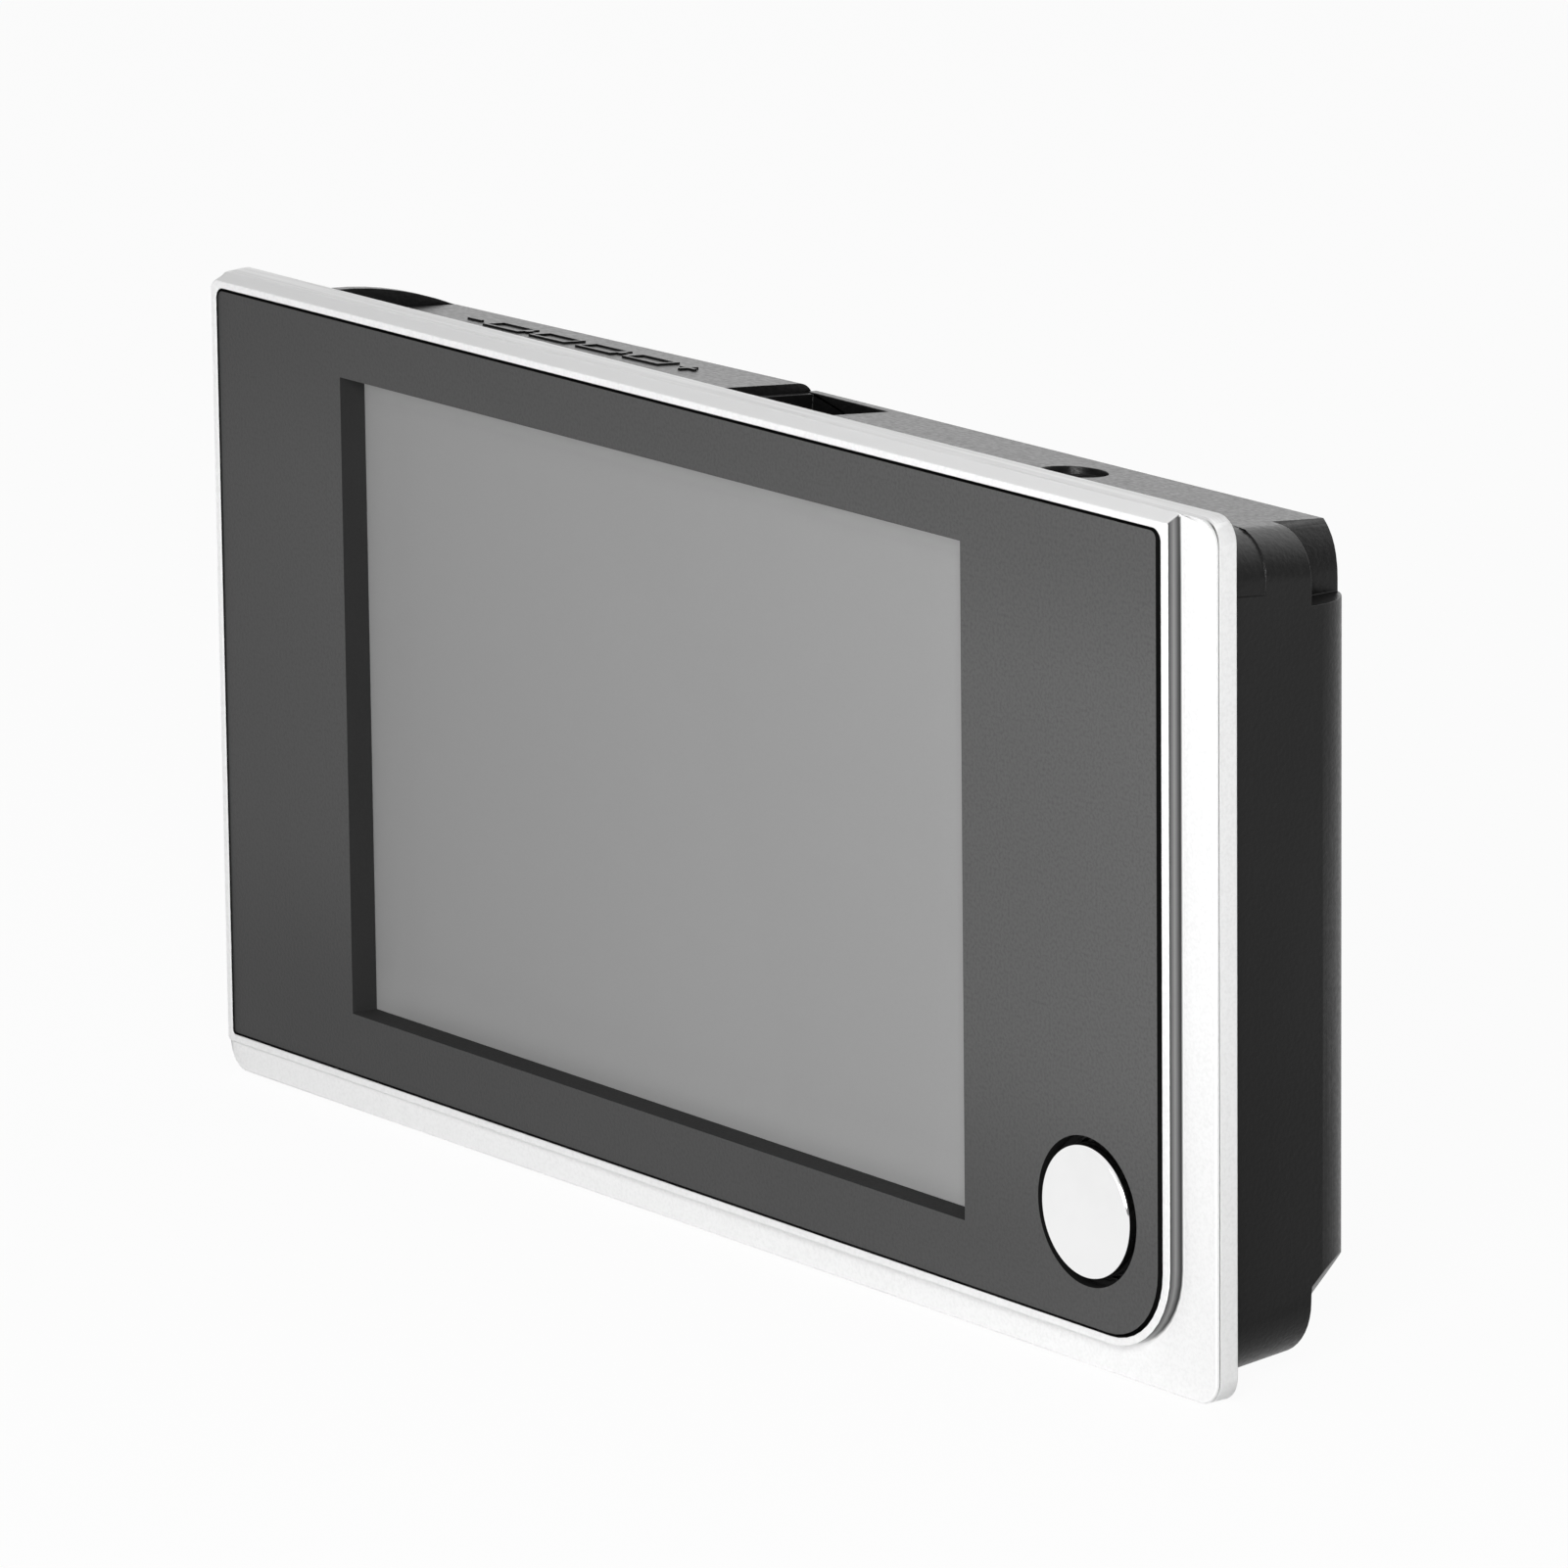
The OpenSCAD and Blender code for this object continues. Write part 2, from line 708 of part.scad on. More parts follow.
// One conical coil as a closed tube: rings of points along a helix
spring_n = floor(spring_turns * spring_steps);
spring_rise = spring_h - 2 * spring_wire_r;
function spring_at(i) =
  let (t = i / spring_n, a = 360 * spring_turns * t, r = spring_r0 + (spring_r1 - spring_r0) * t)
  [r * cos(a), r * sin(a), spring_wire_r + spring_rise * t];
function spring_ring(i) =
  let (c = spring_at(i), a = 360 * spring_turns * i / spring_n)
  [for (k = [0:spring_sides - 1])
    let (b = 360 * k / spring_sides)
    c + spring_wire_r * [cos(b) * cos(a), cos(b) * sin(a), sin(b)]];
spring_points = [for (i = [0:spring_n]) each spring_ring(i)];
spring_faces = concat(
  [[for (k = [0:spring_sides - 1]) k]],
  [for (i = [0:spring_n - 1]) for (k = [0:spring_sides - 1])
    let (n = (k + 1) % spring_sides, a = i * spring_sides, b = a + spring_sides)
    [a + k, b + k, b + n, a + n]],
  [[for (k = [0:spring_sides - 1]) spring_n * spring_sides + spring_sides - 1 - k]]);
spring_gap = min([for (i = [0:spring_n]) for (j = [i + spring_steps / 2:spring_n])
  norm(spring_at(i) - spring_at(j))]) - 2 * spring_wire_r;
echo(spring_gap = spring_gap);

module coil() {
  polyhedron(points = spring_points, faces = spring_faces, convexity = 8);
}

module lid_springs() {
  color([0.82, 0.82, 0.8])
  for (i = [0, 2])
    translate([bay_x[i], bay_y, down_top + 0.05 + spring_h])
      rotate([180, 0, 0])
        coil();
}

module base_contacts() {
  color([0.8, 0.8, 0.8]) {
    slab(bay_x[1] - 4, bay_x[2] + 4, bay_y - 2.4, bay_y + 2.4, bay_z, bay_z + contact_t);
    for (x = [bay_x[0], bay_x[3]]) {
      slab(x - 4, x + 4, bay_y - 2.4, bay_y + 2.4, bay_z, bay_z + contact_t);
      slab(x - 1.5, x + 1.5, bay_y - 0.2, bay_y + 0.2, box_z0 - 1.6, bay_z + eps);
    }
  }
}

module base_springs() {
  color([0.82, 0.82, 0.8])
  for (i = [1, 3])
    translate([bay_x[i], bay_y, bay_z + contact_t])
      coil();
}

wire_r = 0.5;
// The two wires run side by side under the battery box
wire_side = 0.75;
wire_z = min(floor_z + 3.9, box_z0 - 2.45);

module wire(path) {
  for (i = [0:len(path) - 2]) {
    a = path[i];
    b = path[i + 1];
    d = b - a;
    translate(a)
      rotate([0, acos(d[2] / norm(d)), atan2(d[1], d[0])])
        cylinder(h = norm(d), r = wire_r, $fn = 16);
    if (i > 0)
      translate(a)
        sphere(r = wire_r, $fn = 16);
  }
}

module lead_positive() {
  color([0.75, 0.08, 0.06])
  wire([[bay_x[0], bay_y - wire_side, box_z0 - 0.3], [bay_x[0], bay_y - wire_side, wire_z],
    [slot_x + 6, bay_y - wire_side, wire_z], [slot_x + 6, bay_y - wire_side, board_z0 + 8.7],
    [slot_x + 6, board_back, board_z0 + 8.7]]);
}

module lead_negative() {
  color([0.1, 0.1, 0.1])
  wire([[bay_x[3], bay_y + wire_side, box_z0 - 0.3], [bay_x[3], bay_y + wire_side, wire_z],
    [slot_x + 3, bay_y + wire_side, wire_z], [slot_x + 3, bay_y + wire_side, board_z0 + 5.7],
    [slot_x + 3, board_back, board_z0 + 5.7]]);
}

module case_screws() {
  color([0.55, 0.55, 0.57])
  for (p = case_posts) {
    rod_y(p[0], p[1], case_seat_y, case_seat_y + head_h, head_r);
    rod_y(p[0], p[1], lcd_y + 1, case_seat_y + eps, screw_r);
  }
}

module board_screws() {
  color([0.55, 0.55, 0.57])
  for (p = board_posts) {
    rod_y(p[0], p[1], board_y - 1.1, board_y, head_r);
    rod_y(p[0], p[1], board_y - eps, board_back + 4.2, screw_r);
  }
}

front_bezel();
face_panel();
panel_tape();
screen_gasket();
lcd_glass();
lcd_tray();
lcd_flex();
insulation_sheet();
main_board();
display_connector();
video_processor();
memory_chip();
power_coil();
capacitors();
clock_crystal();
lead_socket();
power_socket();
button_switch();
switch_plunger();
view_button();
rear_housing();
battery_lid();
battery_cells();
lid_contacts();
lid_springs();
base_contacts();
base_springs();
lead_positive();
lead_negative();
case_screws();
board_screws();
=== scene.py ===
import math

import bmesh
import bpy
from mathutils import Matrix, Vector


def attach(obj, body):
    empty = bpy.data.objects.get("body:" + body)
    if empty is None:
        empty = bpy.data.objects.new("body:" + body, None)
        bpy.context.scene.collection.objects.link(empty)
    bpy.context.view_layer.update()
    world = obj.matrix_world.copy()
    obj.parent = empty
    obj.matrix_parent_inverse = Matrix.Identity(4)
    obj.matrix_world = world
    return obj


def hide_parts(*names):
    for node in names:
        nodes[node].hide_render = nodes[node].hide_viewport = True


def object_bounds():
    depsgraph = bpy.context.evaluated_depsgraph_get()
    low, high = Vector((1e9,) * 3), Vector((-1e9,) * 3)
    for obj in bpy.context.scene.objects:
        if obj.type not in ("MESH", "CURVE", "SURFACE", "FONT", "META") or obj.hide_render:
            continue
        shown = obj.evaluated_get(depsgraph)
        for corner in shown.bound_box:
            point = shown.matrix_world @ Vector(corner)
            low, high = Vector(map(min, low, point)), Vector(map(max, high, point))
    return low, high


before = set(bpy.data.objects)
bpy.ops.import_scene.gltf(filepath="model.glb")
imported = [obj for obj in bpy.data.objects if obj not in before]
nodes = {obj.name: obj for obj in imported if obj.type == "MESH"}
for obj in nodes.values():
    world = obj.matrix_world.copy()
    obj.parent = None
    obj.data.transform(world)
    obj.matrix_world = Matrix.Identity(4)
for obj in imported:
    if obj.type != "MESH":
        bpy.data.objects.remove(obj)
cad_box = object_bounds()
scene = bpy.context.scene
MM = 0.001

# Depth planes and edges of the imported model, in millimetres
FRONT_Y = -16.0
PANEL_FRONT_Y = -15.8
PANEL_BACK_Y = -14.8
FLANGE_Y = -14.8
SEAT_Y = -14.6
PLATE_BACK_Y = -13.4
JOINT_Y = -12.7
SKIRT_END_Y = -10.7
SIDE_X = 61.5
TOP_Z = 31.65
TOP_DRAFT = math.radians(5)
WINDOW_X = (-44.6, 34.1)
WINDOW_Z = (-24.9, 27.25)
BUTTON = (48.6, -21.05)
CASE_POSTS = [(-56.3, 14), (56.3, 14), (-56.3, -14), (56.3, -14)]


# Shader nodes

def new_material(name):
    mat = bpy.data.materials.new(name)
    mat.use_nodes = True
    tree = mat.node_tree
    return mat, tree, tree.nodes["Principled BSDF"]


def grey(value):
    return (value, value, value)


def feed(tree, value, socket):
    """Gives a socket a fixed value or the output of another node."""
    if isinstance(value, bpy.types.NodeSocket):
        tree.links.new(value, socket)
    else:
        socket.default_value = value


def calculate(tree, operation, *values):
    """A math node on numbers or outputs of other nodes."""
    node = tree.nodes.new("ShaderNodeMath")
    node.operation = operation
    for value, socket in zip(values, node.inputs):
        feed(tree, value, socket)
    return node.outputs["Value"]


def map_range(tree, value, start, end, low=0.0, high=1.0, smooth=False):
    """Carries a value that runs from start to end over to low and high, and holds it at both ends."""
    node = tree.nodes.new("ShaderNodeMapRange")
    if smooth:
        node.interpolation_type = "SMOOTHSTEP"
    for name, number in (("From Min", start), ("From Max", end), ("To Min", low), ("To Max", high)):
        node.inputs[name].default_value = number
    tree.links.new(value, node.inputs["Value"])
    return node.outputs["Result"]


def mix(tree, kind, factor, first, second, blend="MIX"):
    """A mix of two colours (kind RGBA) or of two numbers (kind FLOAT)."""
    node = tree.nodes.new("ShaderNodeMix")
    node.data_type = kind
    node.blend_type = blend
    feed(tree, factor, node.inputs["Factor"])
    feed(tree, first, node.inputs["A"])
    feed(tree, second, node.inputs["B"])
    return node.outputs["Result"]


def axes(tree, output):
    """X, Y and Z of one of the texture coordinates."""
    coord = tree.nodes.new("ShaderNodeTexCoord")
    split = tree.nodes.new("ShaderNodeSeparateXYZ")
    tree.links.new(coord.outputs[output], split.inputs["Vector"])
    return split.outputs


def noise(tree, scale, detail=2.0, stretch=(1, 1, 1)):
    coord = tree.nodes.new("ShaderNodeTexCoord")
    turn = tree.nodes.new("ShaderNodeMapping")
    turn.inputs["Scale"].default_value = stretch
    tex = tree.nodes.new("ShaderNodeTexNoise")
    tex.inputs["Scale"].default_value = scale
    tex.inputs["Detail"].default_value = detail
    tree.links.new(coord.outputs["Object"], turn.inputs["Vector"])
    tree.links.new(turn.outputs["Vector"], tex.inputs["Vector"])
    return tex.outputs["Fac"]


def ramp(tree, fac, stops):
    """A colour ramp from (position, colour) stops in rising order."""
    node = tree.nodes.new("ShaderNodeValToRGB")
    elements = node.color_ramp.elements
    elements[0].position = stops[0][0]
    elements[1].position = stops[-1][0]
    for position, colour in stops[1:-1]:
        elements.new(position)
    for element, (position, colour) in zip(elements, stops):
        element.color = (*colour, 1)
    tree.links.new(fac, node.inputs["Fac"])
    return node.outputs["Color"]


def patches(tree, fac, low, high):
    """Two tones spread over the middle of a noise."""
    return ramp(tree, fac, ((0.3, low), (0.7, high)))


def spread(tree, fac, low, high):
    """Two numbers spread over the middle of a noise."""
    return map_range(tree, fac, 0.3, 0.7, low, high)


def bump(tree, bsdf, fac, strength, depth):
    node = tree.nodes.new("ShaderNodeBump")
    node.inputs["Strength"].default_value = strength
    node.inputs["Distance"].default_value = depth * MM
    tree.links.new(fac, node.inputs["Height"])
    tree.links.new(node.outputs["Normal"], bsdf.inputs["Normal"])


# Materials

def surface(name, low, high, rough, grain, strength, metal=0.0, specular=0.5, patch=60.0, depth=0.05,
            stretch=(1, 1, 1), drawn=(1, 1, 1)):
    """A surface whose colour drifts in soft patches between two tones and whose grain is a fine bump."""
    mat, tree, bsdf = new_material(name)
    bsdf.inputs["Metallic"].default_value = metal
    bsdf.inputs["Specular IOR Level"].default_value = specular
    tree.links.new(patches(tree, noise(tree, patch, 3.0, drawn), low, high), bsdf.inputs["Base Color"])
    fine = noise(tree, grain, 2.0, stretch)
    tree.links.new(spread(tree, fine, rough - 0.05, rough + 0.05), bsdf.inputs["Roughness"])
    bump(tree, bsdf, fine, strength, depth)
    return mat


def cell_surface():
    """Printed jacket round each cell, bare steel on the flat ends."""
    mat, tree, bsdf = new_material("cell_jacket")
    upright = calculate(tree, "ABSOLUTE", axes(tree, "Normal")["Z"])
    end = map_range(tree, upright, 0.6, 0.7)
    patch = noise(tree, 60, 3.0)
    print_tone = patches(tree, patch, (0.030, 0.060, 0.075), (0.036, 0.070, 0.088))
    steel_tone = patches(tree, patch, grey(0.60), grey(0.66))
    tree.links.new(mix(tree, "RGBA", end, print_tone, steel_tone), bsdf.inputs["Base Color"])
    tree.links.new(end, bsdf.inputs["Metallic"])
    tree.links.new(spread(tree, noise(tree, 1500), 0.27, 0.37), bsdf.inputs["Roughness"])
    return mat


def painted_edge_light(tree, colour, edges):
    """Paints light and shade into a tone: lighter or darker towards some edges.

    Each edge is an axis, where the change starts, where it is full, both in millimetres, and its factor.
    """
    place = axes(tree, "Object")
    for axis, start, full, factor in edges:
        # Factor above one is painted light, below one painted shade
        lift = map_range(tree, place[axis], start * MM, full * MM, 1.0, factor, smooth=True)
        colour = mix(tree, "RGBA", 1.0, colour, lift, "MULTIPLY")
    return colour


def painted_light_surface(name, lean, left, right, low, high, rough, grain, strength, specular, fleck, edges):
    """A finely flecked matt surface with painted light: its tone runs from left to right, in millimetres,
    leaning upwards, and changes towards some edges.
    """
    mat, tree, bsdf = new_material(name)
    place = axes(tree, "Object")
    # Painted light: the tone follows how the light falls across the face
    across = calculate(tree, "MULTIPLY_ADD", place["Z"], lean, place["X"])
    run = map_range(tree, across, left * MM, right * MM)
    tone = ramp(tree, run, ((0.0, grey(low)), (1.0, grey(high))))
    fine = noise(tree, grain, 1.0)
    specks = ramp(tree, fine, ((0.2, grey(0.3)), (0.6, grey(1.0))))
    flecked = mix(tree, "RGBA", fleck, tone, specks, "MULTIPLY")
    tree.links.new(painted_edge_light(tree, flecked, edges), bsdf.inputs["Base Color"])
    bsdf.inputs["Specular IOR Level"].default_value = specular
    tree.links.new(spread(tree, fine, rough - 0.04, rough + 0.04), bsdf.inputs["Roughness"])
    bump(tree, bsdf, fine, strength, 0.04)
    return mat


def painted_side_shade(name, near, middle, far):
    """Strip with painted shade: dark grey on the frame's upright sides, running into silver along the top
    and the bottom.
    """
    mat, tree, bsdf = new_material(name)
    aside = calculate(tree, "ABSOLUTE", axes(tree, "Normal")["X"])
    share = map_range(tree, aside, 0.15, 0.75, smooth=True)
    depth = map_range(tree, axes(tree, "Object")["Y"], FRONT_Y * MM, FLANGE_Y * MM)
    band = ramp(tree, depth, ((0.1, grey(near)), (0.5, grey(middle)), (0.9, grey(far))))
    tree.links.new(mix(tree, "RGBA", share, (*grey(0.86), 1), band), bsdf.inputs["Base Color"])
    bsdf.inputs["Specular IOR Level"].default_value = 0.2
    tree.links.new(spread(tree, noise(tree, 5200), 0.4, 0.5), bsdf.inputs["Roughness"])
    return mat


def painted_sheen_by_height(mat, low, high):
    """Painted sheen: gloss that grows from the foot of the object to its top."""
    tree = mat.node_tree
    painted_sheen = map_range(tree, axes(tree, "Object")["Z"], cad_box[0].z, cad_box[1].z, low, high)
    tree.links.new(painted_sheen, tree.nodes["Principled BSDF"].inputs["Specular IOR Level"])


# Plastic, foam and paint
silver = surface("silver_paint", grey(0.69), grey(0.90), rough=0.34, grain=5200, strength=0.08, metal=0.1,
                 specular=0.3, patch=2600, drawn=(0.02, 1, 0.02))
# Black plastic of sockets and insides; inside the frame its darkness is also painted shade in the hollows
inner_black_and_shade = surface("inner_plastic_and_shade", grey(0.004), grey(0.006), rough=0.7, grain=3000, strength=0.1,
                      specular=0.15)
gasket_black = surface("gasket_foam", grey(0.024), grey(0.029), rough=0.85, grain=5000, strength=0.2,
                       specular=0.2)
tape_black = surface("tape_foam", grey(0.012), grey(0.016), rough=0.9, grain=4000, strength=0.2,
                     specular=0.2)
housing_black = surface("housing_plastic", grey(0.004), grey(0.006), rough=0.36, grain=2600, strength=0.5,
                        specular=0.22, depth=0.06)
# Painted sheen: the housing's gloss grows from its foot to its top
painted_sheen_by_height(housing_black, 0.15, 0.28)
ivory = surface("ivory_nylon", (0.72, 0.68, 0.56), (0.76, 0.72, 0.60), rough=0.5, grain=2500, strength=0.05)
tan_plastic = surface("plunger_tan", (0.50, 0.42, 0.20), (0.56, 0.47, 0.24), rough=0.45, grain=2500,
                      strength=0.05)
chip_black = surface("chip_epoxy", grey(0.016), grey(0.022), rough=0.5, grain=4000, strength=0.1)
ferrite = surface("coil_ferrite", grey(0.035), grey(0.05), rough=0.6, grain=3000, strength=0.15)
board_green = surface("solder_mask", (0.010, 0.090, 0.030), (0.014, 0.110, 0.038), rough=0.35, grain=900,
                      strength=0.05)
amber = surface("flex_film", (0.48, 0.20, 0.03), (0.54, 0.24, 0.04), rough=0.3, grain=900, strength=0.03)
cream = surface("insulating_film", (0.80, 0.74, 0.55), (0.84, 0.78, 0.60), rough=0.3, grain=900,
                strength=0.03)
red_wire = surface("wire_red", (0.42, 0.012, 0.010), (0.50, 0.018, 0.014), rough=0.4, grain=2000,
                   strength=0.03)
black_wire = surface("wire_black", grey(0.012), grey(0.018), rough=0.4, grain=2000, strength=0.03)
jacket = cell_surface()

# Metal
chrome = surface("button_plate", grey(0.88), grey(0.91), rough=0.10, grain=900, strength=0.02, metal=1.0)
tin = surface("can_tin", grey(0.66), grey(0.72), rough=0.28, grain=2500, strength=0.05, metal=1.0,
              stretch=(1, 1, 12))
nickel = surface("contact_nickel", (0.66, 0.65, 0.62), (0.72, 0.71, 0.68), rough=0.26, grain=2500,
                 strength=0.06, metal=1.0, stretch=(12, 1, 1))
zinc = surface("screw_zinc", grey(0.52), grey(0.60), rough=0.30, grain=3000, strength=0.08, metal=1.0)
tray_metal = surface("tray_sheet", grey(0.62), grey(0.68), rough=0.35, grain=2500, strength=0.06, metal=1.0,
                     stretch=(1, 1, 14))

# Faces that follow the light of the photo
# Painted light: the panel grows lighter to the right and upwards, with painted shade towards its top and its
# bottom
panel_painted_light = painted_light_surface("panel_matt_painted_light", lean=0.3, left=-58, right=62, low=0.0505, high=0.106, rough=0.5,
                    grain=3800, strength=0.6, specular=0.3, fleck=0.45,
                    edges=(("Z", 16, 31, 0.80), ("Z", -8, -27, 0.66)))
# Painted light: the screen grows lighter to the right, and lighter towards the window's edges where the
# recess shades it
screen_painted_light = painted_light_surface("screen_polariser_painted_light", lean=0.1, left=-48, right=38, low=0.268, high=0.318, rough=0.46,
                     grain=9000, strength=0.04, specular=0.3, fleck=0.05,
                     edges=(("Z", 25.2, 26.7, 1.36), ("X", -39, -44.6, 1.13), ("X", 26, 34.1, 1.05),
                            ("Z", -20, -24.9, 1.11)))
# Painted shade: the silver's front faces grow darker to the right and towards the bottom
silver_face_painted_light = painted_light_surface("silver_face_painted_light", lean=0.3, left=-62, right=62, low=0.94, high=0.90, rough=0.34,
                     grain=3600, strength=0.2, specular=0.3, fleck=0.1, edges=(("Z", 0, -30, 0.94),))
# Painted shade on the lip's upright walls: dark at the front, lighter in the middle, darkest at the foot
lip_wall_painted_shade = painted_side_shade("lip_wall_painted_shade", 0.06, 0.24, 0.025)
# Painted shade along the side band's seam, dark on the upright sides
seam_painted_shade = painted_side_shade("frame_seam_painted_shade", 0.09, 0.08, 0.07)

NODE_MATERIALS = {
    "face_panel": panel_painted_light, "panel_tape": tape_black, "screen_gasket": gasket_black,
    "lcd_glass": screen_painted_light, "lcd_tray": tray_metal, "lcd_flex": amber, "insulation_sheet": cream,
    "main_board": board_green, "display_connector": ivory, "video_processor": chip_black,
    "memory_chip": chip_black, "power_coil": ferrite, "capacitors": tin, "clock_crystal": tin,
    "lead_socket": ivory, "power_socket": inner_black_and_shade, "button_switch": chip_black,
    "switch_plunger": tan_plastic, "rear_housing": housing_black, "battery_lid": housing_black,
    "battery_cells": jacket, "lid_contacts": nickel, "lid_springs": nickel, "base_contacts": nickel,
    "base_springs": nickel, "lead_positive": red_wire, "lead_negative": black_wire,
    "case_screws": zinc, "board_screws": zinc, "front_bezel": silver, "view_button": chrome,
}
for name, mat in NODE_MATERIALS.items():
    data = nodes[name].data
    data.materials.clear()
    data.materials.append(mat)


# Edges of the CAD pieces

def soften(obj, width, segments=3, clamp=True):
    """Rounds the sharp edges of a piece with modifiers, so that they catch the light."""
    weld = obj.modifiers.new("weld", "WELD")
    weld.merge_threshold = 0.000002
    flat = obj.modifiers.new("flat", "DECIMATE")
    flat.decimate_type = "DISSOLVE"
    flat.angle_limit = math.radians(0.4)
    edge = obj.modifiers.new("edge", "BEVEL")
    edge.width = width * MM
    edge.segments = segments
    edge.limit_method = "ANGLE"
    edge.angle_limit = math.radians(50)
    edge.use_clamp_overlap = clamp
    weight = obj.modifiers.new("weight", "WEIGHTED_NORMAL")
    weight.keep_sharp = False


ROUNDED_NODES = ("battery_lid", "lcd_tray", "video_processor", "memory_chip", "lead_socket", "power_socket",
                 "display_connector")
for name in ROUNDED_NODES:
    soften(nodes[name], 0.1)


# Mesh tools

def make_object(name, bm, materials, sharp=40):
    data = bpy.data.meshes.new(name)
    bmesh.ops.recalc_face_normals(bm, faces=bm.faces)
    bm.to_mesh(data)
    bm.free()
    for mat in materials:
        data.materials.append(mat)
    data.polygons.foreach_set("use_smooth", [True] * len(data.polygons))
    data.set_sharp_from_angle(angle=math.radians(sharp))
    obj = bpy.data.objects.new(name, data)
    scene.collection.objects.link(obj)
    return obj


def outline(x0, x1, z0, z1, radii, side=12, corner=10):
    """Points and outward normals of a rounded rectangle, from the lower left end upwards and round."""
    tl, tr, br, bl = radii
    ends = [((x0, z0 + bl), (x0, z1 - tl), (x0 + tl, z1 - tl), tl, 180),
            ((x0 + tl, z1), (x1 - tr, z1), (x1 - tr, z1 - tr), tr, 90),
            ((x1, z1 - tr), (x1, z0 + br), (x1 - br, z0 + br), br, 0),
            ((x1 - br, z0), (x0 + bl, z0), (x0 + bl, z0 + bl), bl, -90)]
    points, normals = [], []
    for a, b, mid, r, turn in ends:
        flat = math.radians(turn)
        for i in range(side):
            t = i / side
            points.append(Vector((a[0] + (b[0] - a[0]) * t, a[1] + (b[1] - a[1]) * t)))
            normals.append(Vector((math.cos(flat), math.sin(flat))))
        for i in range(corner):
            at = math.radians(turn - 90 * i / corner)
            n = Vector((math.cos(at), math.sin(at)))
            points.append(Vector(mid) + n * r)
            normals.append(n)
    return points, normals


def quarter(steps):
    """A quarter round in steps: how far it has turned inwards and how far forwards."""
    angles = [math.radians(90 * i / steps) for i in range(steps + 1)]
    return [(1 - math.cos(a), math.sin(a)) for a in angles]


def ease(t):
    """Soft change from nought to one."""
    t = min(1.0, max(0.0, t))
    return t * t * (3 - 2 * t)


def circle(x, z, r, sides):
    angles = [2 * math.pi * i / sides for i in range(sides)]
    return [(x + r * math.cos(a), z + r * math.sin(a)) for a in angles]


def box(x0, x1, y0, y1):
    return [(x0, y0), (x1, y0), (x1, y1), (x0, y1)]


def cross(arm, half):
    """Corners of an upright cross about the origin."""
    return [(arm, half), (half, half), (half, arm), (-half, arm), (-half, half), (-arm, half),
            (-arm, -half), (-half, -half), (-half, -arm), (half, -arm), (half, -half), (arm, -half)]


def upright(x, z, y):
    """Place of a point of the screen's plane at a depth."""
    return Vector((x, y, z)) * MM


def prism(bm, corners, near, far, place, slot=0):
    """A straight prism: flat corners put into space by place(a, b, depth) at two depths."""
    ends = [[bm.verts.new(place(a, b, d)) for a, b in corners] for d in (near, far)]
    for i in range(len(corners)):
        bm.faces.new((ends[0][i - 1], ends[0][i], ends[1][i], ends[1][i - 1])).material_index = slot
    for loop in ends:
        bm.faces.new(loop).material_index = slot


def ring_prism(bm, outside, inside, near, far, place):
    """A straight frame between two loops with the same number of corners."""
    rows = [[bm.verts.new(place(a, b, d)) for a, b in loop]
            for loop, d in ((outside, near), (outside, far), (inside, far), (inside, near))]
    for here, there in zip(rows, rows[1:] + rows[:1]):
        for i in range(len(here)):
            bm.faces.new((here[i - 1], here[i], there[i], there[i - 1]))


def lathe(bm, x, z, profile, sides):
    """Turns a profile of (radius, y) about an axis along Y and closes its ends."""
    rows = []
    for r, y in profile:
        spots = circle(x, z, r, sides) if r > 0 else [(x, z)]
        rows.append([bm.verts.new(upright(a, b, y)) for a, b in spots])
    for here, there in zip(rows, rows[1:]):
        for i in range(sides):
            j = (i + 1) % sides
            corners = [here[i % len(here)], here[j % len(here)]]
            corners += [there[j % len(there)], there[i % len(there)]]
            bm.faces.new(list(dict.fromkeys(corners)))
    for row in (rows[0], rows[-1]):
        if len(row) > 1:
            bm.faces.new(row)


def cut(obj, bm):
    """Takes a closed shape out of a mesh and keeps the result as the object's own mesh."""
    tool = make_object("cutter", bm, list(obj.data.materials))
    mod = obj.modifiers.new("hole", "BOOLEAN")
    mod.operation = "DIFFERENCE"
    mod.solver = "EXACT"
    mod.object = tool
    graph = bpy.context.evaluated_depsgraph_get()
    data = bpy.data.meshes.new_from_object(obj.evaluated_get(graph))
    obj.modifiers.clear()
    obj.data = data
    bpy.data.objects.remove(tool)


# Front frame

# Inside faces of the frame take the black plastic, dark also as painted shade in its hollows
PAINT, INSIDE, WALL_PAINTED_SHADE, SEAM_PAINTED_SHADE, FACE_PAINTED_LIGHT = range(5)


